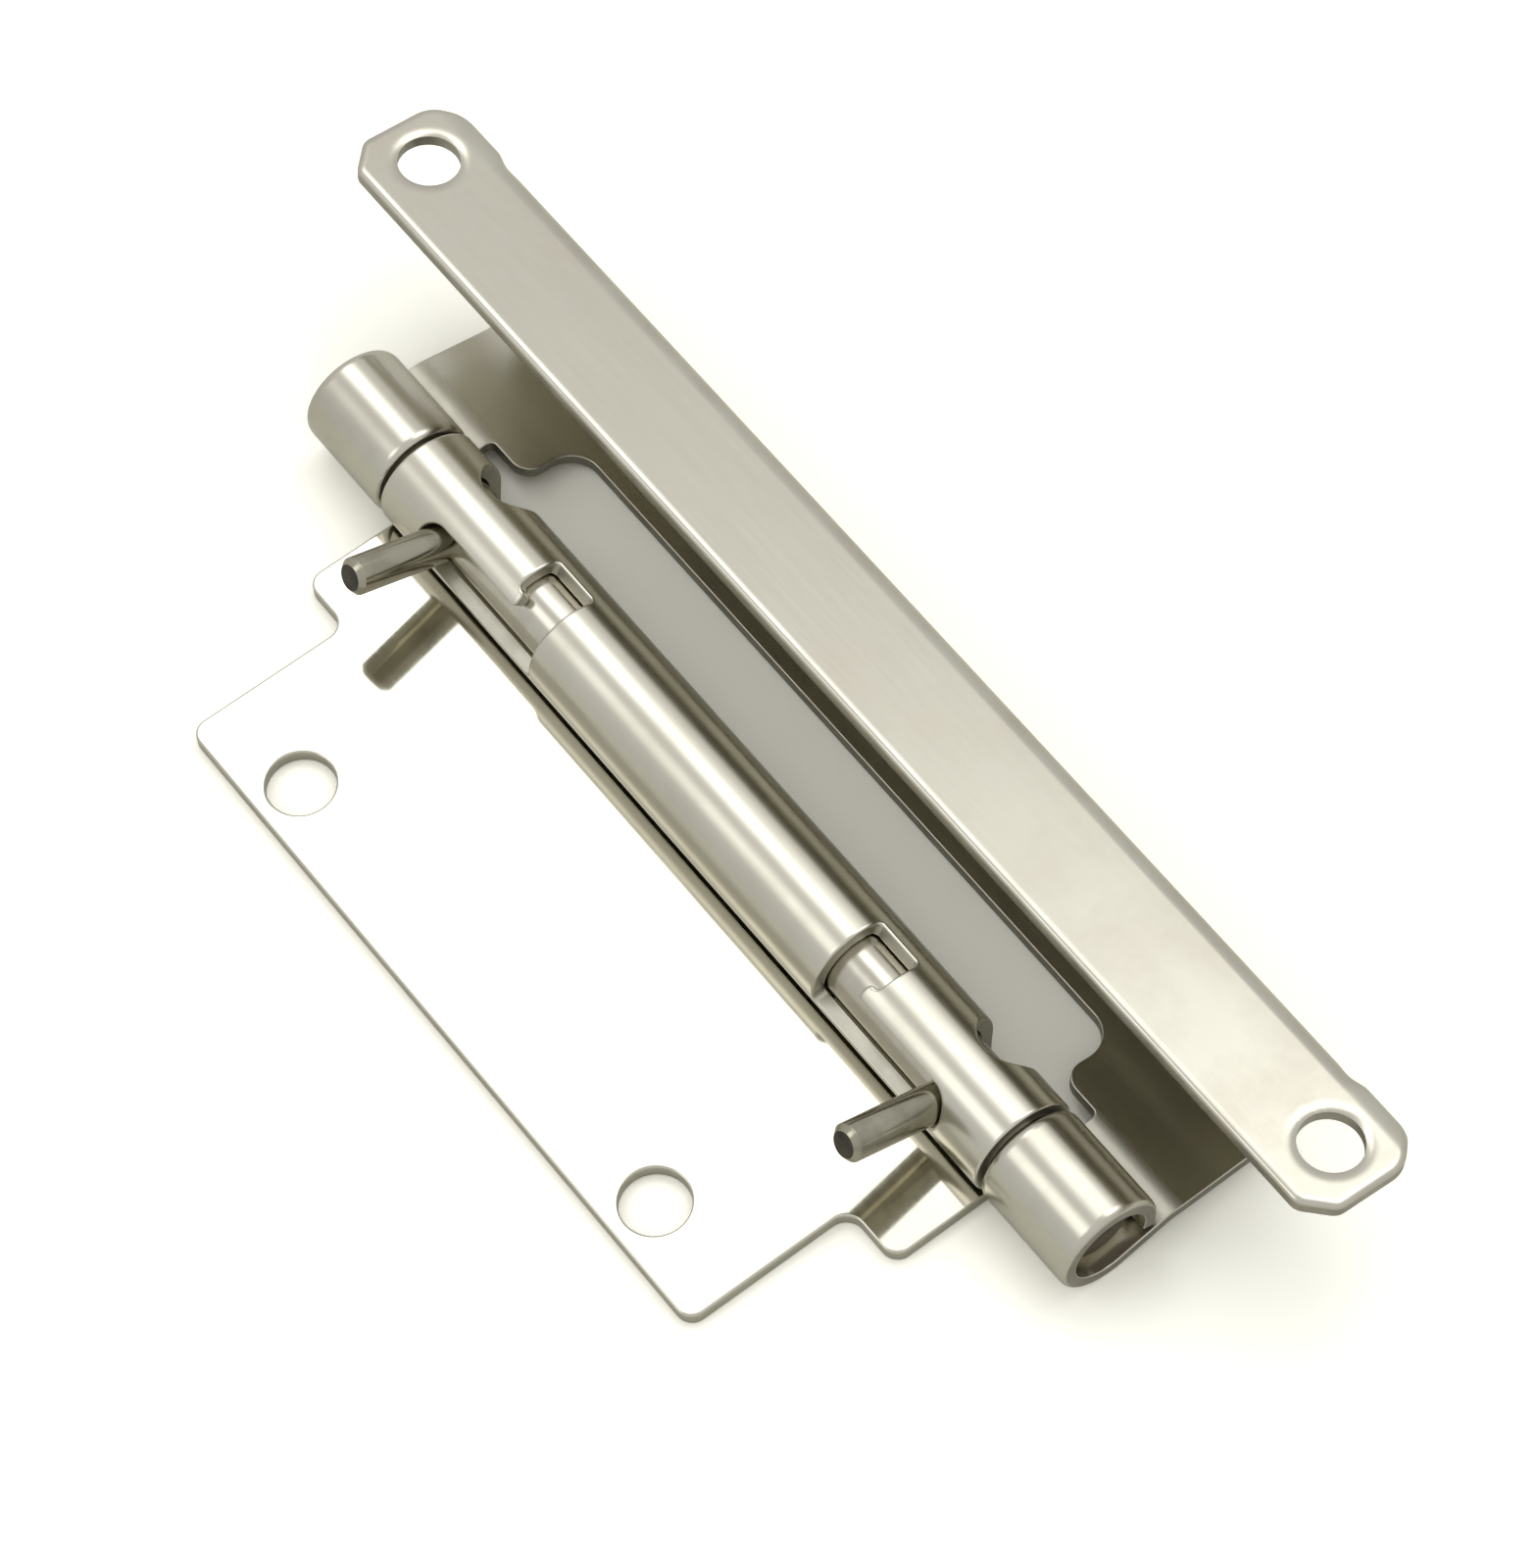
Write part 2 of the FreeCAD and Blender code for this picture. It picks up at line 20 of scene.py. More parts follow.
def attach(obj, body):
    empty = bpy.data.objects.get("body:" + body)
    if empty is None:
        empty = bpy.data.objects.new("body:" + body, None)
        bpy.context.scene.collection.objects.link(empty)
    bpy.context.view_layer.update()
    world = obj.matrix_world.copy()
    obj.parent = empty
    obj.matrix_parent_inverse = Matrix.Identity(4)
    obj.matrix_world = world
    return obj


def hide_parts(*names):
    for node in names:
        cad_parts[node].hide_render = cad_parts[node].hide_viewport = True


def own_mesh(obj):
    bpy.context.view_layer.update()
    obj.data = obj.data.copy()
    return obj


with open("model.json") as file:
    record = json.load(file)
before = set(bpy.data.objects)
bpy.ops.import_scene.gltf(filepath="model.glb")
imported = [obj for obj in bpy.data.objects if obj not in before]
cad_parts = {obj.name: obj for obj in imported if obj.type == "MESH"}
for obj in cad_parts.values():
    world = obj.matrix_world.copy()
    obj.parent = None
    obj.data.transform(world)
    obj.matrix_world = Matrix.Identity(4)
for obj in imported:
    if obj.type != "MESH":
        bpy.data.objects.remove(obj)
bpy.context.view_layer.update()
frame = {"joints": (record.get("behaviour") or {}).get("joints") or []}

LOG = logging.getLogger("lift_off_hinge")
MM = 0.001
Point = tuple[float, float]
Points = list[Point]
Socket = bpy.types.NodeSocket
Piece = bpy.types.Object
Mesh = bmesh.types.BMesh

# Attributes of a blank: how far each point is bent, and which faces the punch cut
BEND = "bend_reach"
CUT_FACE = "cut_face"
# Distances within which two points count as one, in filling and in dividing a sheet
FILL_REACH = 1e-7
DIVIDE_REACH = 1e-4
# Share of half an end's width that rounds it fully and still keeps its two arcs apart
FULL_ROUND = 0.99


class End(Enum):
    """End of the hinge, by the sign of its X."""

    LEFT = -1
    RIGHT = 1


class Curl(Enum):
    """Way in which a fold turns the sheet."""

    UP = 1
    DOWN = -1


@dataclass(frozen=True)
class Fold:
    """One bend of a sheet.

    Attributes:
        name: What the fold makes, used for its inputs.
        start: Distance along the flat sheet at which the bend starts.
        radius: Bend radius at the middle of the sheet.
        angle: Angle of the bend in degrees.
        beyond: Side of the start that moves, 1 towards larger distances and -1 towards smaller ones.
        curl: Whether the moving side turns up or down.
    """

    name: str
    start: float
    radius: float
    angle: float
    beyond: int
    curl: Curl

    @property
    def end(self) -> float:
        """Distance along the flat sheet at which the bend ends."""
        return self.start + self.beyond * self.radius * math.radians(self.angle)

    def inputs(self) -> dict[str, float]:
        """Values that the folding group takes."""
        return {"Start": self.start, "Radius": self.radius, "Angle": math.radians(self.angle),
                "Beyond": self.beyond, "Curl": self.curl.value}

    def lines(self, step: float) -> list[float]:
        """Distances at which the blank is divided to bend, at most a step in degrees apart."""
        count = math.ceil(self.angle / step)
        return [self.start + (self.end - self.start) * index / count for index in range(count + 1)]


@dataclass(frozen=True)
class Corner:
    """A corner of an outline, with the radius that rounds it."""

    x: float
    y: float
    radius: float = 0.0


def round_corners(corners: list[Corner], closed: bool = True, step: float = 7.5) -> Points:
    """Turn corners into an outline with round arcs.

    Args:
        corners: The corners in order.
        closed: Whether the last corner joins the first one.
        step: Largest angle between two points of an arc in degrees.

    Returns:
        The points of the outline.
    """
    points, count = [], len(corners)
    for index, corner in enumerate(corners):
        here = Vector((corner.x, corner.y))
        if corner.radius == 0 or (not closed and index in (0, count - 1)):
            points.append((here.x, here.y))
            continue
        before, after = corners[index - 1], corners[(index + 1) % count]
        back = (Vector((before.x, before.y)) - here).normalized()
        ahead = (Vector((after.x, after.y)) - here).normalized()
        half = back.angle(ahead) / 2
        centre = here + (back + ahead).normalized() * corner.radius / math.sin(half)
        start = here + back * corner.radius / math.tan(half) - centre
        turn = -(math.pi - 2 * half) * math.copysign(1, back.cross(ahead))
        pieces = max(2, math.ceil(abs(math.degrees(turn)) / step))
        for piece in range(pieces + 1):
            angle = turn * piece / pieces
            arm = Vector((start.x * math.cos(angle) - start.y * math.sin(angle),
                          start.x * math.sin(angle) + start.y * math.cos(angle)))
            points.append((centre.x + arm.x, centre.y + arm.y))
    return points


def at_end(corners: list[Corner], end: End) -> Points:
    """Outline of a hole from its corners at the right end, mirrored for the left one."""
    return [(x * end.value, y) for x, y in round_corners(corners)]


def mirrored(right: list[Corner]) -> Points:
    """Outline of a blank from the corners of its right half, in anticlockwise order."""
    left = [Corner(-corner.x, corner.y, corner.radius) for corner in reversed(right)]
    return round_corners(right + left)


def ring(x: float, y: float, radius: float, count: int = 96) -> Points:
    """List the points of a round hole, from its middle and radius."""
    angles = [2 * math.pi * index / count for index in range(count)]
    return [(x + radius * math.cos(angle), y + radius * math.sin(angle)) for angle in angles]


def signed_area(loop: Points) -> float:
    """Area inside a loop, positive when it runs anticlockwise."""
    following = loop[1:] + loop[:1]
    return sum(x1 * y2 - x2 * y1 for (x1, y1), (x2, y2) in zip(loop, following)) / 2


def encloses(loops: list[Points], x: float, y: float) -> bool:
    """Tell whether a place lies in the material between an outline and its holes."""
    inside = False
    for loop in loops:
        for (x1, y1), (x2, y2) in zip(loop, loop[1:] + loop[:1]):
            if (y1 > y) != (y2 > y) and x < x1 + (x2 - x1) * (y - y1) / (y2 - y1):
                inside = not inside
    return inside


def fill(loops: list[Points]) -> list[tuple[int, int, int]]:
    """Divide the material between an outline and its holes into triangles.

    Args:
        loops: The outline and the holes.

    Returns:
        Triangles of numbers, counted through the loops one after another.
    """
    points = [Vector(point) for loop in loops for point in loop]
    rims, first = [], 0
    for loop in loops:
        rims += [(first + index, first + (index + 1) % len(loop)) for index in range(len(loop))]
        first += len(loop)
    places, _, faces, given, _, _ = delaunay_2d_cdt(points, rims, [], 1, FILL_REACH)
    triangles = []
    for face in faces:
        middle = sum((places[index] for index in face), Vector((0, 0))) / 3
        if encloses(loops, middle.x, middle.y):
            triangles.append(tuple(given[index][0] for index in face))
    return triangles


def inset(loop: Points, distance: float) -> Points:
    """Move a loop into the material, which lies to its left.

    Args:
        loop: Points of the loop.
        distance: How far each side moves.

    Returns:
        The moved points.
    """
    moved = []
    for index, (x, y) in enumerate(loop):
        x0, y0 = loop[index - 1]
        x1, y1 = loop[(index + 1) % len(loop)]
        before = Vector((x - x0, y - y0)).normalized()
        after = Vector((x1 - x, y1 - y)).normalized()
        left = Vector((-before.y - after.y, before.x + after.x))
        mitre = left / (1 + before.dot(after))
        moved.append((x + mitre.x * distance, y + mitre.y * distance))
    return moved


class NodeTree:
    """Adds nodes to a tree."""

    def __init__(self, tree: bpy.types.NodeTree) -> None:
        """Keep the tree."""
        self.tree = tree

    def add(self, kind: str, inputs: dict | None = None, **settings: object) -> bpy.types.Node:
        """Add a node with its settings and inputs.

        Args:
            kind: Blender's name of the node's type.
            inputs: Socket name or number to a value, or to an output socket that is linked there.
            settings: Attributes of the node.

        Returns:
            The node.
        """
        node = self.tree.nodes.new(kind)
        for name, value in settings.items():
            setattr(node, name, value)
        for key, value in (inputs or {}).items():
            if isinstance(value, Socket):
                self.tree.links.new(value, node.inputs[key])
            else:
                node.inputs[key].default_value = value
        return node

    def out(self, kind: str, inputs: dict | None = None, **settings: object) -> Socket:
        """Add a node and return its first output."""
        return self.add(kind, inputs, **settings).outputs[0]

    def math(self, operation: str, *values: object, **settings: object) -> Socket:
        """Add a math node and return its result."""
        return self.out("ShaderNodeMath", dict(enumerate(values)), operation=operation, **settings)

    def vector(self, **parts: object) -> Socket:
        """Combine the parts named X, Y and Z into a vector."""
        return self.out("ShaderNodeCombineXYZ", parts)

    def remap(self, value: Socket, source: Point = (0.0, 1.0), target: Point = (0.0, 1.0),
              blend: str = "LINEAR") -> Socket:
        """Map a value from a source range to a target one, and keep it inside."""
        limits = dict(zip(("From Min", "From Max", "To Min", "To Max"), source + target))
        return self.out("ShaderNodeMapRange", {"Value": value} | limits, interpolation_type=blend)

    def noise(self, place: Socket, width: float, detail: float, roughness: float = 0.5) -> Socket:
        """Add noise whose features are a given number of millimetres wide."""
        return self.out("ShaderNodeTexNoise", {
            "Vector": place, "Scale": 1 / (width * MM), "Detail": detail, "Roughness": roughness})

    def sockets(self, kind: str, *names: str, way: str = "INPUT") -> None:
        """Add named inputs or outputs of one kind to the tree."""
        for name in names:
            self.tree.interface.new_socket(name, in_out=way, socket_type=kind)

    def settle(self, shape: Socket, turn: Socket, given: bpy.types.NodeOutputs) -> Socket:
        """Set a shape on the given hinge axis, turned and scaled to metres, and give it its finish."""
        placed = self.out("GeometryNodeTransform", {
            "Geometry": shape, "Translation": given["Hinge axis"], "Rotation": turn, "Scale": (MM, MM, MM)})
        return self.out("GeometryNodeSetMaterial", {
            "Geometry": self.out("GeometryNodeRealizeInstances", {"Geometry": placed}),
            "Material": given["Finish"]})


def clear_nodes(owner: bpy.types.Material | bpy.types.World) -> NodeTree:
    """Give a material or a world an empty node tree."""
    owner.use_nodes = True
    owner.node_tree.nodes.clear()
    return NodeTree(owner.node_tree)


def fold_group() -> bpy.types.NodeTree:
    """Make the node group that bends a sheet once.

    Each point is pulled back by the length that the bend has used up so far, and then turned about the
    bend's centre line by the angle reached there.

    Returns:
        The group, which takes what Fold.inputs lists.
    """
    group = bpy.data.node_groups.new("Fold", "GeometryNodeTree")
    press = NodeTree(group)
    press.sockets("NodeSocketGeometry", "Sheet")
    press.sockets("NodeSocketFloat", "Start", "Radius", "Angle", "Beyond", "Curl")
    press.sockets("NodeSocketGeometry", "Sheet", way="OUTPUT")
    given = press.add("NodeGroupInput").outputs
    start, radius, beyond, curl = (given[name] for name in ("Start", "Radius", "Beyond", "Curl"))
    reach = press.add("GeometryNodeInputNamedAttribute", {"Name": BEND}, data_type="FLOAT")
    past = press.math("MULTIPLY", press.math("SUBTRACT", reach.outputs["Attribute"], start), beyond)
    share = press.math("DIVIDE", past, radius)
    angle = press.out("ShaderNodeClamp", {"Value": share, "Min": 0.0, "Max": given["Angle"]})
    pull = press.vector(Y=press.math("MULTIPLY", press.math("MULTIPLY", angle, radius), beyond))
    place = press.out("GeometryNodeInputPosition")
    pulled = press.out("ShaderNodeVectorMath", {0: place, 1: pull}, operation="SUBTRACT")
    centre = press.vector(Y=start, Z=press.math("MULTIPLY", radius, curl))
    turn = press.math("MULTIPLY", angle, press.math("MULTIPLY", beyond, curl))
    arm = {"Vector": pulled, "Center": centre, "Angle": turn}
    turned = press.out("ShaderNodeVectorRotate", arm, rotation_type="X_AXIS")
    bent = press.out("GeometryNodeSetPosition", {"Geometry": given["Sheet"], "Position": turned})
    press.add("NodeGroupOutput", {"Sheet": bent})
    return group


class Workshop:
    """Runs a Geometry Nodes tree on an object and keeps the result as a plain mesh."""

    def __init__(self) -> None:
        """Make the group that every folded leaf shares."""
        self.fold = fold_group()

    def folding_tree(self, name: str, folds: list[Fold]) -> tuple[bpy.types.NodeTree, dict[str, float]]:
        """Build the tree that folds a blank and sets the leaf on the hinge axis.

        Args:
            name: Name of the leaf.
            folds: The folds, from the outermost one inwards.

        Returns:
            The tree, and the values of the inputs that describe the folds.
        """
        tree = bpy.data.node_groups.new(f"{name} folding", "GeometryNodeTree")
        press = NodeTree(tree)
        press.sockets("NodeSocketGeometry", "Blank")
        values = {f"{fold.name} {part}": value for fold in folds for part, value in fold.inputs().items()}
        press.sockets("NodeSocketFloat", *values, "Drop", "Lean")
        press.sockets("NodeSocketVector", "Hinge axis")
        press.sockets("NodeSocketMaterial", "Finish", "Cut finish")
        press.sockets("NodeSocketGeometry", "Leaf", way="OUTPUT")
        given = press.add("NodeGroupInput").outputs
        sheet = given["Blank"]
        for fold in folds:
            inputs = {part: given[f"{fold.name} {part}"] for part in fold.inputs()}
            sheet = press.out("GeometryNodeGroup", {"Sheet": sheet} | inputs, node_tree=self.fold)
        lower = press.vector(Z=given["Drop"])
        lowered = press.out("GeometryNodeTransform", {"Geometry": sheet, "Translation": lower})
        skin = press.settle(lowered, press.vector(X=given["Lean"]), given)
        walls = press.add("GeometryNodeInputNamedAttribute", {"Name": CUT_FACE}, data_type="BOOLEAN")
        dressed = press.out("GeometryNodeSetMaterial", {
            "Geometry": skin, "Selection": walls.outputs["Attribute"], "Material": given["Cut finish"]})
        press.add("NodeGroupOutput", {"Leaf": dressed})
        return tree, values

    def run(self, piece: Piece, tree: bpy.types.NodeTree, values: dict[str, object],
            crease: float = 40.0) -> Piece:
        """Run a tree on an object, replace its mesh by the result and shade it smooth.

        Args:
            piece: The object that the tree works on.
            tree: The Geometry Nodes tree.
            values: Input name to value.
            crease: Angle in degrees from which an edge stays sharp.

        Returns:
            The object.
        """
        modifier = piece.modifiers.new(tree.name, "NODES")
        modifier.node_group = tree
        names = {item.name: item.identifier for item in tree.interface.items_tree if item.in_out == "INPUT"}
        for name, value in values.items():
            modifier[names[name]] = value
        view = bpy.context.evaluated_depsgraph_get()
        result = bpy.data.meshes.new_from_object(piece.evaluated_get(view))
        piece.modifiers.clear()
        piece.data = result
        result.name = piece.name
        return smooth(piece, crease)


def new_piece(name: str, mesh: Mesh | None = None) -> Piece:
    """Make an object from a mesh under construction.

    Args:
        name: Name of the piece.
        mesh: The mesh under construction, or None for an empty one.

    Returns:
        The object, linked to the scene.
    """
    data = bpy.data.meshes.new(name)
    if mesh is not None:
        mesh.to_mesh(data)
        mesh.free()
    piece = bpy.data.objects.new(name, data)
    bpy.context.scene.collection.objects.link(piece)
    return piece


def smooth(piece: Piece, crease: float = 40.0) -> Piece:
    """Shade a piece smooth, apart from edges sharper than an angle in degrees, and return it."""
    piece.data.shade_smooth()
    piece.data.set_sharp_from_angle(angle=math.radians(crease))
    return piece


def linear(hex_colour: str) -> tuple[float, float, float, float]:
    """Turn an sRGB hex colour into a linear one.

    Args:
        hex_colour: Colour such as "#C8C4B6".

    Returns:
        Linear red, green, blue and an alpha of one.
    """
    shares = [int(hex_colour[place:place + 2], 16) / 255 for place in (1, 3, 5)]
    red, green, blue = (share / 12.92 if share <= 0.04045 else ((share + 0.055) / 1.055) ** 2.4
                        for share in shares)
    return red, green, blue, 1.0


@dataclass(frozen=True)
class SteelFinish:
    """Surface of one stainless steel piece, with widths and depths in millimetres.

    Attributes:
        name: Name of the finish.
        colour: Colour of the clean metal.
        stain: Colour where the surface is dull.
        roughness: Roughness of the clean metal.
        dullness: Roughness added where the surface is dull.
        cloud: Width of the dull clouds.
        grain: Width of the drawing or turning lines.
        grain_stretch: How many times longer than wide the lines are.
        ripple: Width of the ripples left by rolling or tumbling.
        ripple_depth: Depth of those ripples.
        formed: Roughness added where a sheet was rolled or pressed hard.
        formed_middle: Distance along the blank of the middle of that zone.
        formed_half: Half of the width of that zone.
        formed_fade: Width over which that zone ends.
        formed_ripple: How many times deeper the ripples are in that zone.
        cloud_levels: Noise between which the metal turns dull.
        grain_levels: Noise between which the lines change the gloss.
        grain_gloss: Roughness that they add or take away.
    """

    name: str
    colour: str
    stain: str
    roughness: float
    dullness: float
    cloud: float
    grain: float
    grain_stretch: float
    ripple: float
    ripple_depth: float
    formed: float = 0.0
    formed_middle: float = 14.0
    formed_half: float = 12.5
    formed_fade: float = 1.2
    formed_ripple: float = 2.5
    cloud_levels: Point = (0.42, 0.68)
    grain_levels: Point = (0.3, 0.7)
    grain_gloss: float = 0.015

    def build(self) -> bpy.types.Material:
        """Make the material."""
        material = bpy.data.materials.new(self.name)
        nodes = clear_nodes(material)
        place = nodes.add("ShaderNodeTexCoord").outputs["Object"]

        # Dull clouds: handling and uneven polishing change gloss and colour a little
        dull = nodes.remap(nodes.noise(place, self.cloud, detail=5.0, roughness=0.6), self.cloud_levels)
        shades = {"Factor": dull, "A": linear(self.colour), "B": linear(self.stain)}
        colour = nodes.add("ShaderNodeMix", shades, data_type="RGBA").outputs[2]

        # Fine lines along the hinge axis, from drawing the wire or rolling the sheet
        drawn = nodes.out("ShaderNodeMapping", {"Vector": place, "Scale": (1 / self.grain_stretch, 1.0, 1.0)})
        swing = (-self.grain_gloss, self.grain_gloss)
        fine = nodes.remap(nodes.noise(drawn, self.grain, detail=2.0), self.grain_levels, swing)
        gloss = nodes.math("MULTIPLY_ADD", dull, self.dullness, self.roughness)
        total = nodes.math("ADD", gloss, fine, use_clamp=True)

        # Where the press worked the sheet, it is rougher and its ripples are deeper
        depth, strength = self.ripple_depth * MM, 1.0
        if self.formed:
            reach = nodes.add("ShaderNodeAttribute", attribute_name=BEND).outputs["Fac"]
            away = nodes.math("ABSOLUTE", nodes.math("SUBTRACT", reach, self.formed_middle))
            edge = (self.formed_half, self.formed_half + self.formed_fade)
            worked = nodes.remap(away, edge, (1.0, 0.0), blend="SMOOTHSTEP")
            total = nodes.math("MULTIPLY_ADD", worked, self.formed, total)
            depth *= self.formed_ripple
            strength = nodes.remap(worked, target=(1 / self.formed_ripple, 1.0))

        # Shallow ripples make long reflections waver
        ripple = nodes.noise(place, self.ripple, detail=1.0)
        wave = nodes.out("ShaderNodeBump", {"Height": ripple, "Strength": strength, "Distance": depth})
        metal = nodes.out("ShaderNodeBsdfPrincipled", {
            "Base Color": colour, "Metallic": 1.0, "Roughness": total, "Normal": wave})
        nodes.add("ShaderNodeOutputMaterial", {"Surface": metal})
        return material


# Bright-annealed sheet: close to a mirror, so it shows the handles and the barrel
BRIGHT_SHEET = SteelFinish("bright_annealed_sheet", "#D0CDBF", "#C9C5B6", 0.07, 0.05, 14.0, 0.4, 20.0,
    5.0, 0.003, formed=0.14)
# Tumbled sheet: the same metal with a satin skin, so the bar shows soft gradients and no image
SATIN_SHEET = SteelFinish("tumbled_satin_sheet", "#CBC8BA", "#C2BDAF", 0.21, 0.05, 9.0, 0.35, 25.0,
    6.0, 0.003, formed=0.20, formed_middle=6.8, formed_half=0.7)
# Walls left by the punch: torn across the grain, so they are matt and darker than the skin, partly as the
# torn metal's own colour and partly as painted shade of walls that face the pin or lie in gaps
PLATE_CUT = SteelFinish("punched_plate_wall", "#C4C1B3", "#B7B4A7", 0.40, 0.06, 6.0, 0.15, 1.0, 1.2, 0.004)
BRACKET_CUT = SteelFinish("punched_bracket_wall", "#A9A598", "#9A968A", 0.38, 0.06, 3.0, 0.15, 1.0,
    1.2, 0.004)
# Turned bar stock of the pins
TURNED_STEEL = SteelFinish("turned_pin_steel", "#CDC9BC", "#BDB8AA", 0.16, 0.06, 6.0, 0.15, 1.0, 3.0, 0.002)
# Cut wire of the handles, duller than the sheet; its darker colour is painted shade, for the shadow that the
# handles reflect underneath
WIRE_STEEL_SHADED = SteelFinish("cut_handle_wire", "#A9A594", "#8F8B7C", 0.13, 0.08, 4.0, 0.2, 12.0, 2.0, 0.002)
# Parted-off end of a pin, left rough; its dark brown colour is painted shade, for the shade in the mouth of
# the knuckle's bore
PIN_END_SHADED = SteelFinish("parted_pin_end", "#6C6256", "#5A5248", 0.50, 0.08, 2.5, 0.1, 1.0, 0.8, 0.006)
# Cropped end of that wire, a matt face inside its bright chamfer; its dark colour is painted shade, for the
# dark surroundings that it reflects
WIRE_END_SHADED = SteelFinish("cropped_wire_end", "#56544D", "#46443E", 0.50, 0.08, 1.5, 0.1, 1.0, 0.8, 0.006)
# Hard-drawn spring wire
SPRING_STEEL = SteelFinish("drawn_spring_wire", "#CFCABE", "#A8A296", 0.28, 0.10, 4.0, 0.12, 10.0, 2.0, 0.002)


def hinge_axis() -> Vector:
    """Place of the hinge axis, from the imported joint, in metres."""
    joint = next(item for item in frame["joints"] if item["name"] == "hinge")
    return Vector(joint["pos_m"])


@dataclass
class Leaf:
    """Base of both leaves: a sheet that is punched flat, folded, and leant about the axis in degrees.

    The softened edges, and the dip that the punch drew round a hole, are a width and a depth.
    """

    workshop: Workshop
    name: str = "sheet"
    finish: SteelFinish = BRIGHT_SHEET
    cut_finish: SteelFinish = PLATE_CUT
    lean: float = 0.0
    thickness: float = 1.5
    bore_radius: float = 3.75
    half_barrel: float = 44.0
    bend_step: float = 3.0
    upper_edge: Point = (0.22, 0.18)
    lower_edge: Point = (0.26, 0.2)
    hole_dip: Point | None = None
    edge_steps: int = 6
    flat_margin: float = 0.08

    @property
    def roll_radius(self) -> float:
        """Radius of the rolled barrel at the middle of the sheet."""
        return self.bore_radius + self.thickness / 2

    def bend_reach(self, x: float, y: float) -> float:
        """Distance along the sheet that decides how far a point of the blank is bent."""
        return y

    def cross_lines(self) -> list[float]:
        """Places along the hinge axis at which the blank is divided as well."""
        return []

    def edge_profile(self, hole: bool) -> Points:
        """List inset and height down an edge, from the upper face to the lower one.

        Args:
            hole: Whether the edge belongs to a hole.

        Returns:
            Pairs of inset and height.
        """
        half, steps = self.thickness / 2, range(self.edge_steps + 1)
        quarter = [math.pi / 2 * step / self.edge_steps for step in steps]
        (upper_width, upper_depth), (lower_width, lower_depth) = self.upper_edge, self.lower_edge
        upper = [(upper_width * (1 - math.sin(angle)), half - upper_depth * (1 - math.cos(angle)))
                 for angle in quarter]
        if hole and self.hole_dip:
            lower_width, lower_depth = self.hole_dip
            shares = [step / self.edge_steps for step in steps]
            lower = [(lower_width * share, lower_depth * (1 - share) ** 3 - half) for share in shares]
        else:
            lower = [(lower_width * (1 - math.sin(angle)), lower_depth * (1 - math.cos(angle)) - half)
                     for angle in reversed(quarter)]
        flat = self.flat_margin
        return [(upper_width + flat, half), *upper, *lower, (lower_width + flat, -half)]

    def punch(self, outer: Points, holes: list[Points], lines: list[float]) -> Mesh:
        """Make the flat blank as a closed mesh, lying about the plane Z = 0.

        Args:
            outer: Outline of the blank.
            holes: Outlines of its holes.
            lines: Distances along the sheet at which its faces are divided for bending.

        Returns:
            The mesh, in millimetres.
        """
        sheet = bmesh.new()
        walls = sheet.faces.layers.bool.new(CUT_FACE)
        loops = [outer] if signed_area(outer) > 0 else [outer[::-1]]
        loops += [hole if signed_area(hole) < 0 else hole[::-1] for hole in holes]
        profiles = [self.edge_profile(hole=loop is not loops[0]) for loop in loops]
        rims = ([], [])
        for loop, profile in zip(loops, profiles):
            rings = []
            for depth, height in profile:
                rings.append([sheet.verts.new((x, y, height)) for x, y in inset(loop, depth)])
            for step, (upper, lower) in enumerate(zip(rings, rings[1:])):
                for index in range(len(loop)):
                    face = sheet.faces.new((upper[index - 1], upper[index], lower[index], lower[index - 1]))
                    # The band between the two softened edges is the wall that the punch cut
                    face[walls] = step == self.edge_steps + 1
            rims[0].extend(rings[0])
            rims[-1].extend(rings[-1])
        for rank in (0, -1):
            for triangle in fill([inset(loop, profile[rank][0]) for loop, profile in zip(loops, profiles)]):
                sheet.faces.new([rims[rank][index] for index in triangle])
        cuts = [((0, line, 0), (0, 1, 0)) for line in sorted(set(lines))]
        cuts += [((line, 0, 0), (1, 0, 0)) for line in self.cross_lines()]
        for place, normal in cuts:
            everything = list(sheet.verts) + list(sheet.edges) + list(sheet.faces)
            bmesh.ops.bisect_plane(sheet, geom=everything, dist=DIVIDE_REACH, plane_co=place, plane_no=normal)
        bmesh.ops.recalc_face_normals(sheet, faces=sheet.faces)
        return sheet

    def form(self, outer: Points, holes: list[Points], folds: list[Fold], drop: float) -> Piece:
        """Punch a blank, fold it and set it on the hinge axis.

        Args:
            outer: Outline of the blank.
            holes: Outlines of its holes.
            folds: Its folds, from the outermost one inwards.
            drop: Height of the unfolded face's middle from the axis.

        Returns:
            The finished leaf.
        """
        sheet = self.punch(outer, holes, [line for fold in folds for line in fold.lines(self.bend_step)])
        layer = sheet.verts.layers.float.new(BEND)
        for vert in sheet.verts:
            vert[layer] = self.bend_reach(vert.co.x, vert.co.y)
        piece = new_piece(self.name, sheet)
        tree, values = self.workshop.folding_tree(self.name, folds)
        places = {"Drop": drop, "Lean": math.radians(self.lean), "Hinge axis": hinge_axis(),
                  "Finish": self.finish.build(), "Cut finish": self.cut_finish.build()}
        return self.workshop.run(piece, tree, values | places)


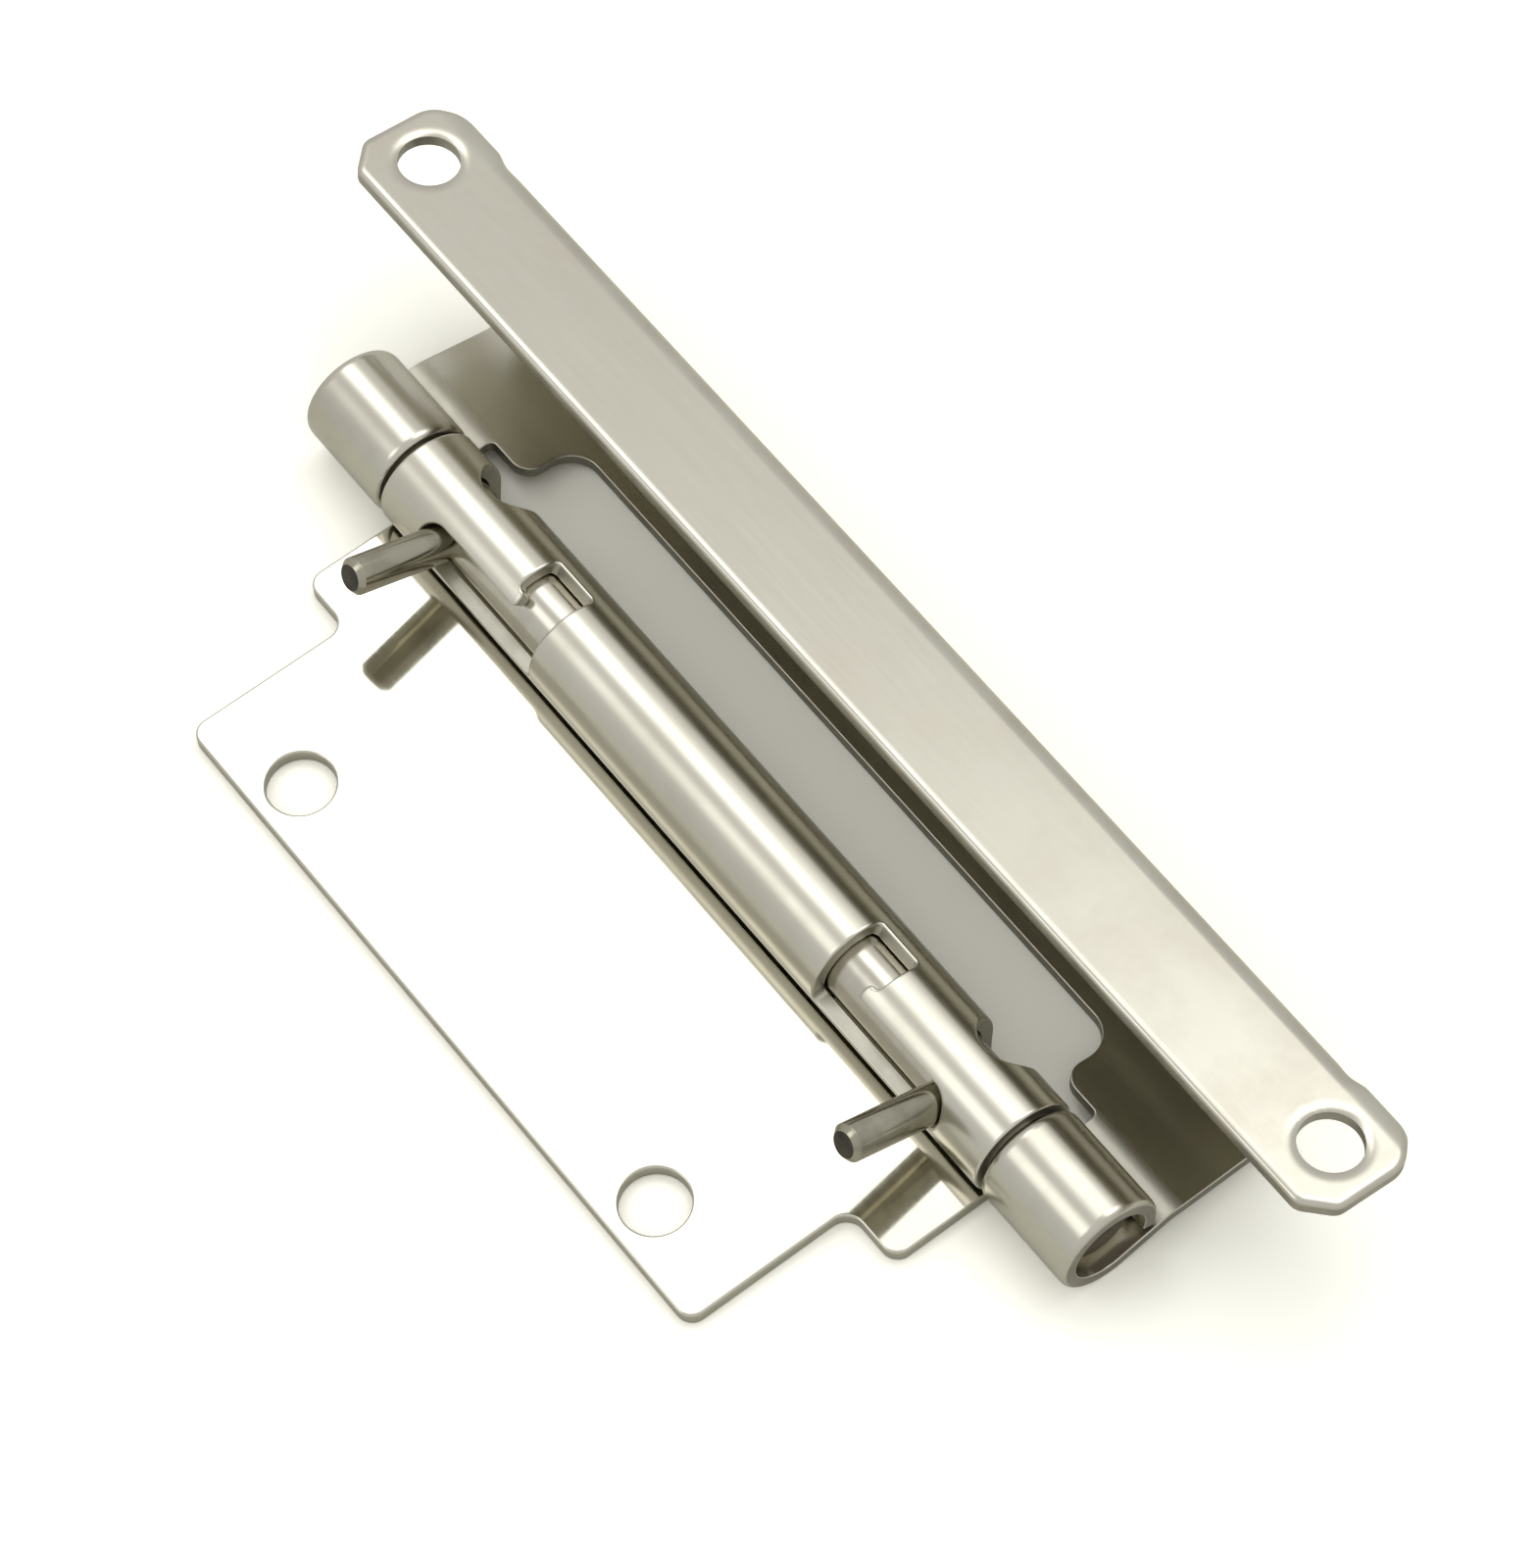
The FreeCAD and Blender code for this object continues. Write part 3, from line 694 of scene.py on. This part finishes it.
@dataclass
class PlateLeaf(Leaf):
    """Flat plate whose sheet is rolled once round the axis to make the slotted barrel."""

    name: str = "plate_sheet"
    roll_sweep: float = 300.0
    half_plate: float = 37.7
    plate_reach: float = 31.6
    ear_reach: float = 14.2
    corner: float = 1.6
    ear_root: float = 1.8
    hole_radius: float = 3.25
    half_hole_spacing: float = 26.7
    hole_reach: float = 26.9
    middle_end: float = 21.0
    gap_width: float = 4.3
    tooth_length: float = 1.1
    tooth_low_angle: float = 111.0
    gap_high_angle: float = 60.0
    slot_angle: float = 158.0
    slot_width: float = 5.0
    slot_end: float = 38.3
    cross_hole_radius: float = 3.0
    cross_hole_length: float = 8.8
    cross_hole_angle: float = 11.0
    cross_hole_place: float = 36.4
    tooth_corner: float = 0.55

    def along(self, angle: float) -> float:
        """Distance along the flat sheet of a place at an angle round the barrel, in degrees from +Y."""
        return self.roll_radius * math.radians(angle + 90)

    def window(self, end: End) -> Points:
        """Outline of the gap, notch and slot at one end of the barrel."""
        outside = self.bore_radius + self.thickness
        slot_spread = math.degrees(math.asin(self.slot_width / 2 / outside))
        low, high = self.along(self.gap_high_angle), self.along(self.slot_angle + slot_spread)
        notch, ledge = self.along(self.tooth_low_angle), self.along(self.slot_angle - slot_spread)
        tip = self.middle_end + self.gap_width
        root = tip + self.tooth_length
        small, round_end = self.tooth_corner, (high - ledge) / 2 * FULL_ROUND
        return at_end([
            Corner(self.middle_end, low, small), Corner(root, low, small), Corner(root, notch, small),
            Corner(tip, notch, small), Corner(tip, ledge, small), Corner(self.slot_end, ledge, round_end),
            Corner(self.slot_end, high, round_end), Corner(self.middle_end, high, small),
        ], end)

    def cross_hole(self, end: End) -> Points:
        """Outline of the oval hole opposite the handle at one end of the barrel."""
        outside = self.bore_radius + self.thickness
        reach = self.roll_radius * math.asin(self.cross_hole_length / 2 / outside)
        middle, half = self.along(self.cross_hole_angle), self.cross_hole_radius
        return at_end([Corner(self.cross_hole_place + across * half, middle + up * reach, half * FULL_ROUND)
                       for across, up in ((-1, -1), (1, -1), (1, 1), (-1, 1))], end)

    def build(self) -> Piece:
        """Build the leaf."""
        free_end = self.along(self.roll_sweep - 90)
        right = [Corner(self.half_plate, -self.plate_reach, self.corner),
                 Corner(self.half_plate, -self.ear_reach, self.ear_root),
                 Corner(self.half_barrel, -self.ear_reach, self.corner),
                 Corner(self.half_barrel, free_end)]
        holes = []
        for end in End:
            screw_hole = ring(self.half_hole_spacing * end.value, -self.hole_reach, self.hole_radius)
            holes += [screw_hole, self.window(end), self.cross_hole(end)]
        roll = Fold("Roll", 0.0, self.roll_radius, self.roll_sweep, 1, Curl.UP)
        return self.form(mirrored(right), holes, [roll], -self.roll_radius)


@dataclass
class BracketLeaf(Leaf):
    """Folded channel with a long bar, a window in its lower flange and a rolled knuckle at each end."""

    name: str = "bracket_sheet"
    finish: SteelFinish = SATIN_SHEET
    cut_finish: SteelFinish = BRACKET_CUT
    lean: float = -7.7
    knuckle_gap: float = 0.6
    knuckle_length: float = 11.4
    knuckle_end_angle: float = -12.0
    crest_reach: float = 7.9
    crest_radius: float = 3.2
    flange_drop: float = 1.2
    wall_reach: float = 21.0
    wall_margin: float = 2.5
    bend_radius: float = 0.7
    half_window: float = 39.6
    tab_corner: float = 2.0
    window_reach: float = 14.1
    window_corner: float = 3.0
    bar_height: float = 14.8
    bar_width: float = 12.4
    bar_end_length: float = 11.5
    bar_chamfer: float = 2.6
    near_round: float = 1.6
    far_round: float = 3.0
    bar_hole_radius: float = 2.95
    bar_hole_inset: float = 5.4
    step_depth: float = 0.8
    step_length: float = 3.6
    step_round: float = 2.4
    flange_end: float = 55.3
    root_corner: float = 0.6
    kept_bend: float = 0.22
    shoulder_cuts: int = 12
    upper_edge: Point = (0.15, 0.12)
    lower_edge: Point = (0.80, 0.4)
    hole_dip: Point | None = (1.3, 0.2)
    folds: dict[str, Fold] = field(init=False)

    def __post_init__(self) -> None:
        """Lay the folds out along the flat sheet, from the lower flange outwards."""
        middle = self.bend_radius + self.thickness / 2
        lower = Fold("Lower bend", self.wall_reach - self.setback, middle, 90.0, 1, Curl.UP)
        wall = self.bar_height + self.flange_drop + self.thickness - 2 * self.setback
        upper = Fold("Upper bend", lower.end + wall, middle, 90.0, 1, Curl.UP)

        # The tab dips from its crest along a straight slope that touches the bore
        crest, curve = self.crest_radius + self.thickness, self.crest_radius + self.thickness / 2
        rise = crest + self.flange_drop
        slope = (math.asin((self.bore_radius + crest) / math.hypot(self.crest_reach, rise))
                 - math.atan2(rise, self.crest_reach))
        crest_fold = Fold("Crest", self.crest_reach, curve, math.degrees(slope), -1, Curl.DOWN)
        straight = self.crest_reach * math.cos(slope) - rise * math.sin(slope)
        # From below the axis to the level of the axis, a roll turns through 270 degrees
        sweep = 270 + math.degrees(slope) - self.knuckle_end_angle
        roll = Fold("Knuckle", crest_fold.end - straight, self.roll_radius, sweep, -1, Curl.UP)
        self.folds = {"lower": lower, "upper": upper, "crest": crest_fold, "roll": roll}

    @property
    def setback(self) -> float:
        """Length of the outer corner of a right-angled bend, on either side of it."""
        return self.bend_radius + self.thickness

    @property
    def wall_end(self) -> float:
        """Half of the wall's length."""
        return self.half_barrel + self.knuckle_gap + self.knuckle_length + self.wall_margin

    def bend_reach(self, x: float, y: float) -> float:
        """Let the bar's ends run out of the upper bend into the flat over a short shoulder."""
        share = min(1.0, max(0.0, (abs(x) - self.wall_end) / self.step_length))
        flat = share * share * (3 - 2 * share) * (1 - self.kept_bend)
        return y + max(0.0, self.folds["upper"].end - y) * flat

    def cross_lines(self) -> list[float]:
        """Divide the shoulders, where the bend runs out."""
        places = [self.wall_end + self.step_length * cut / self.shoulder_cuts
                  for cut in range(self.shoulder_cuts + 1)]
        return [place * end.value for place in places for end in End]

    def outline(self) -> Points:
        """Outline of the flat blank."""
        lower, upper, roll = self.folds["lower"], self.folds["upper"], self.folds["roll"]
        near = upper.end + self.bar_width - self.setback
        far = upper.end - self.setback
        knuckle_start = self.half_barrel + self.knuckle_gap
        knuckle_end = knuckle_start + self.knuckle_length
        bar_end = self.wall_end + self.bar_end_length
        cut = self.bar_chamfer
        return mirrored([
            Corner(self.half_window, self.window_reach, self.window_corner),
            Corner(self.half_window, self.crest_reach, self.tab_corner),
            Corner(knuckle_start, self.crest_reach, self.root_corner),
            Corner(knuckle_start, roll.end), Corner(knuckle_end, roll.end),
            Corner(knuckle_end, self.crest_reach), Corner(self.flange_end, lower.end),
            Corner(self.wall_end, far + self.step_depth, self.step_round),
            Corner(self.wall_end + self.step_length, far, self.step_round),
            Corner(bar_end - cut, far, self.far_round), Corner(bar_end, far + cut, self.far_round),
            Corner(bar_end, near - cut, self.near_round), Corner(bar_end - cut, near, self.near_round),
        ])

    def build(self) -> Piece:
        """Build the leaf."""
        across = self.folds["upper"].end - self.setback + self.bar_width / 2
        place = self.wall_end + self.bar_end_length - self.bar_hole_inset
        holes = [ring(place * end.value, across, self.bar_hole_radius) for end in End]
        order = [self.folds[name] for name in ("upper", "lower", "roll", "crest")]
        return self.form(self.outline(), holes, order, -self.flange_drop - self.thickness / 2)


def lathe(profile: Points, turns: int = 96) -> Mesh:
    """Turn a profile about the X axis.

    Args:
        profile: Places along the axis and radii, starting and ending on the axis.
        turns: Number of steps round the axis.

    Returns:
        The closed mesh.
    """
    rod = bmesh.new()
    first, last = rod.verts.new((profile[0][0], 0, 0)), rod.verts.new((profile[-1][0], 0, 0))
    angles = [2 * math.pi * index / turns for index in range(turns)]
    circles = []
    for along, radius in profile[1:-1]:
        circles.append([rod.verts.new((along, radius * math.cos(angle), radius * math.sin(angle)))
                        for angle in angles])
    for index in range(turns):
        rod.faces.new((first, circles[0][index - 1], circles[0][index]))
        rod.faces.new((last, circles[-1][index], circles[-1][index - 1]))
        for here, following in zip(circles, circles[1:]):
            rod.faces.new((here[index - 1], here[index], following[index], following[index - 1]))
    bmesh.ops.recalc_face_normals(rod, faces=rod.faces)
    return rod


@dataclass
class Pin:
    """Turned rod that slides in the barrel, with its pressed-in handle."""

    end: End
    radius: float = 3.6
    inner: float = 19.5
    tip: float = 54.5
    chamfer: float = 0.8
    handle_radius: float = 1.8
    handle_length: float = 14.4
    handle_place: float = 36.4
    handle_angle: float = 158.0
    handle_chamfer: float = 0.5
    soft: float = 0.12
    least_facing: float = 0.99

    @property
    def name(self) -> str:
        """Name of the end in lower case."""
        return self.end.name.lower()

    def rod_profile(self) -> Points:
        """Profile of the rod, with its chamfers softened."""
        low, high, edge = self.inner, self.tip, self.radius - self.chamfer
        return round_corners([
            Corner(low, 0), Corner(low, edge, self.soft),
            Corner(low + self.chamfer, self.radius, self.soft),
            Corner(high - self.chamfer, self.radius, self.soft),
            Corner(high, edge, self.soft), Corner(high, 0),
        ], closed=False, step=15)

    def handle_profile(self) -> Points:
        """Profile of the handle from the middle of the pin outwards."""
        edge = self.handle_radius - self.handle_chamfer
        return round_corners([
            Corner(0, 0), Corner(0, self.handle_radius),
            Corner(self.handle_length - self.handle_chamfer, self.handle_radius, self.soft),
            Corner(self.handle_length, edge, self.soft), Corner(self.handle_length, 0),
        ], closed=False, step=15)

    def build(self) -> list[Piece]:
        """Build the rod and its handle, whose outer ends have a finish of their own, darkened by painted
        shade.
        """
        to_axis = Matrix.Translation(hinge_axis()) @ Matrix.Scale(MM, 4)
        rod = lathe(self.rod_profile())
        facing = Matrix.Identity(4) if self.end is End.RIGHT else Matrix.Rotation(math.pi, 4, "Z")
        rod.transform(to_axis @ facing)
        angle = math.radians(self.handle_angle)
        along, outwards = Vector((self.end.value, 0, 0)), Vector((0, math.cos(angle), math.sin(angle)))
        turn = Vector((1, 0, 0)).rotation_difference(outwards).to_matrix().to_4x4()
        handle = lathe(self.handle_profile(), turns=64)
        handle.transform(to_axis @ Matrix.Translation(along * self.handle_place) @ turn)
        parts = (("rod", rod, (TURNED_STEEL, PIN_END_SHADED), along),
                 ("handle", handle, (WIRE_STEEL_SHADED, WIRE_END_SHADED), outwards))
        pieces = []
        for part, mesh, skins, ahead in parts:
            piece = new_piece(f"{self.name}_pin_{part}", mesh)
            for skin in skins:
                piece.data.materials.append(skin.build())
            for face in piece.data.polygons:
                face.material_index = int(face.normal.dot(ahead) > self.least_facing)
            pieces.append(smooth(piece))
        return pieces


@dataclass
class Spring:
    """Compression spring between the pins, wound as two halves, one for each pin."""

    workshop: Workshop
    coil_radius: float = 3.0
    wire_radius: float = 0.35
    half_turns: float = 6.0
    half_length: float = 19.05
    pin_travel: float = 13.4

    def tree(self) -> bpy.types.NodeTree:
        """Build the tree that winds the wire along the hinge axis."""
        tree = bpy.data.node_groups.new("Coil winding", "GeometryNodeTree")
        nodes = NodeTree(tree)
        nodes.sockets("NodeSocketFloat", "Turns", "Coil radius", "Wire radius", "Length", "Way")
        nodes.sockets("NodeSocketVector", "Hinge axis")
        nodes.sockets("NodeSocketMaterial", "Finish")
        nodes.sockets("NodeSocketGeometry", "Coil", way="OUTPUT")
        given = nodes.add("NodeGroupInput").outputs
        helix = nodes.out("GeometryNodeCurveSpiral", {
            "Resolution": 40, "Rotations": given["Turns"], "Start Radius": given["Coil radius"],
            "End Radius": given["Coil radius"], "Height": given["Length"]})
        circle = {"Resolution": 16, "Radius": given["Wire radius"]}
        section = nodes.out("GeometryNodeCurvePrimitiveCircle", circle)
        sweep = {"Curve": helix, "Profile Curve": section, "Fill Caps": True}
        wire = nodes.out("GeometryNodeCurveToMesh", sweep)
        facing = nodes.vector(Y=nodes.math("MULTIPLY", given["Way"], math.pi / 2))
        nodes.add("NodeGroupOutput", {"Coil": nodes.settle(wire, facing, given)})
        return tree

    def build(self) -> list[Piece]:
        """Build both halves of the spring."""
        tree = self.tree()
        values = {"Turns": self.half_turns, "Coil radius": self.coil_radius, "Wire radius": self.wire_radius,
                  "Length": self.half_length, "Hinge axis": hinge_axis(), "Finish": SPRING_STEEL.build()}
        return [self.workshop.run(new_piece(f"{end.name.lower()}_spring_half"), tree,
                                  values | {"Way": float(end.value)}, crease=60.0) for end in End]

    def give_way(self, half: Piece, end: End) -> None:
        """Give one half a mesh of its own."""
        f"{end.name.lower()}_bolt_slide"
        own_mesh(half)


@dataclass
class PhotoCamera:
    """Camera at the photograph's viewing angle.

    Attributes:
        focal_pixels: Focal length in pixels of the photograph.
        frame_width: Width of the photograph in pixels.
        azimuth: Direction of the camera round Z in degrees, 0 in front of the part.
        elevation: Height of the camera above the horizon in degrees.
        roll: Turn of the picture about the line of sight in degrees.
        distance: Distance to the point that it looks at in millimetres.
        target: Point that it looks at in millimetres.
        sensor: Width of the sensor in millimetres.
        near_clip: Distance in metres before which nothing is seen.
    """

    focal_pixels: float = 6197.96
    frame_width: float = 1567.0
    azimuth: float = 57.848
    elevation: float = 60.196
    roll: float = -5.916
    distance: float = 544.48
    target: tuple[float, float, float] = (-0.151, 32.735, 1.5)
    sensor: float = 36.0
    near_clip: float = 0.01

    def build(self) -> None:
        """Place the camera and make it the scene's camera."""
        azimuth, elevation = math.radians(self.azimuth), math.radians(self.elevation)
        back = Vector((math.sin(azimuth) * math.cos(elevation), -math.cos(azimuth) * math.cos(elevation),
                       math.sin(elevation)))
        side = Vector((0, 0, 1)).cross(back).normalized()
        turn = Matrix((side, back.cross(side), back)).transposed().to_4x4()
        data = bpy.data.cameras.new("photo_camera")
        data.sensor_fit = "HORIZONTAL"
        data.sensor_width = self.sensor
        data.lens = self.focal_pixels / self.frame_width * self.sensor
        data.clip_start = self.near_clip
        camera = bpy.data.objects.new("photo_camera", data)
        place = Vector(self.target) * MM + back * self.distance * MM
        roll = Matrix.Rotation(math.radians(self.roll), 4, "Z")
        camera.matrix_world = Matrix.Translation(place) @ turn @ roll
        bpy.context.scene.collection.objects.link(camera)
        bpy.context.scene.camera = camera


@dataclass(frozen=True)
class Glow:
    """Soft bright patch of the light tent.

    Attributes:
        towards: Direction of its middle.
        core: Half of its evenly bright part in degrees.
        fade: Width of its soft edge in degrees.
        strength: Light that it adds to the tent.
    """

    towards: tuple[float, float, float]
    core: float
    fade: float
    strength: float


@dataclass
class Studio:
    """Pale floor, in metres, under a light tent with three soft lamps behind its cloth."""

    floor_half: float = 1.5
    floor_colour: str = "#D8D7CE"
    floor_gain: float = 1.9
    tent_low: float = 0.68
    tent_high: float = 0.80
    tent_top: float = 0.9
    glows: tuple[Glow, ...] = (
        Glow((-0.508, 0.140, 0.850), 3.0, 15.0, 2.20),
        Glow((-0.110, 0.460, 0.880), 7.0, 13.5, 2.30),
        Glow((-0.282, -0.553, 0.784), 6.4, 10.8, 1.15),
    )

    def floor(self) -> None:
        """Build the floor, which the camera sees as white with the object's shadow."""
        mesh = bmesh.new()
        bmesh.ops.create_grid(mesh, x_segments=1, y_segments=1, size=self.floor_half)
        floor = new_piece("studio_floor", mesh)
        material = bpy.data.materials.new("white_floor")
        nodes = clear_nodes(material)
        seen = nodes.add("ShaderNodeLightPath").outputs["Is Camera Ray"]
        gain = nodes.remap(seen, target=(1.0, self.floor_gain))
        paint = {0: linear(self.floor_colour)[:3], "Scale": gain}
        colour = nodes.out("ShaderNodeVectorMath", paint, operation="SCALE")
        matt = nodes.out("ShaderNodeBsdfDiffuse", {"Color": colour})
        nodes.add("ShaderNodeOutputMaterial", {"Surface": matt})
        floor.data.materials.append(material)

    def sky(self) -> None:
        """Light the scene by the tent, which the camera sees as plain white."""
        world = bpy.data.worlds.new("light_tent")
        bpy.context.scene.world = world
        nodes = clear_nodes(world)
        ray = nodes.add("ShaderNodeTexCoord").outputs["Generated"]
        height = nodes.add("ShaderNodeSeparateXYZ", {0: ray}).outputs["Z"]
        level = nodes.remap(height, (0.0, self.tent_top), (self.tent_low, self.tent_high), blend="SMOOTHSTEP")
        for glow in self.glows:
            towards = Vector(glow.towards).normalized()
            facing = nodes.add("ShaderNodeVectorMath", {0: ray, 1: towards}, operation="DOT_PRODUCT")
            away = nodes.math("ARCCOSINE", facing.outputs["Value"])
            edges = math.radians(glow.core + glow.fade), math.radians(glow.core)
            patch = nodes.remap(away, edges, (0.0, glow.strength), blend="SMOOTHSTEP")
            level = nodes.math("ADD", level, patch)
        cloth = linear("#FFFFFF")
        tent = nodes.out("ShaderNodeBackground", {"Color": cloth, "Strength": level})
        white = nodes.out("ShaderNodeBackground", {"Color": cloth, "Strength": 1.0})
        seen = nodes.add("ShaderNodeLightPath").outputs["Is Camera Ray"]
        mixed = nodes.out("ShaderNodeMixShader", {0: seen, 1: tent, 2: white})
        nodes.add("ShaderNodeOutputWorld", {"Surface": mixed})

    def build(self) -> None:
        """Set the stage."""
        self.floor()
        self.sky()
        bpy.context.scene.view_settings.view_transform = "Standard"


def place_piece(piece: Piece, body: str, node: str) -> None:
    """Let a piece ride on its body and stand for its solid.

    Args:
        piece: The finished piece.
        body: Body that it moves with.
        node: Solid that it replaces.
    """
    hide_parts(node)
    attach(piece, body)
    LOG.info("%s: %d faces on %s", piece.name, len(piece.data.polygons), body)


def main() -> None:
    """Build the hinge, the stage and the camera."""
    logging.basicConfig(level=logging.INFO, format="%(name)s: %(message)s")
    workshop = Workshop()
    place_piece(PlateLeaf(workshop).build(), "plate", "plate_leaf")
    place_piece(BracketLeaf(workshop).build(), "bracket", "bracket_leaf")
    for end in End:
        pin = Pin(end)
        rod, handle = pin.build()
        place_piece(rod, f"{pin.name}_bolt", f"{pin.name}_pin")
        place_piece(handle, f"{pin.name}_bolt", f"{pin.name}_handle")
    spring = Spring(workshop)
    for end, half in zip(End, spring.build()):
        place_piece(half, "plate", "spring")
        spring.give_way(half, end)
    Studio().build()
    PhotoCamera().build()


if __name__ == "__main__":
    main()
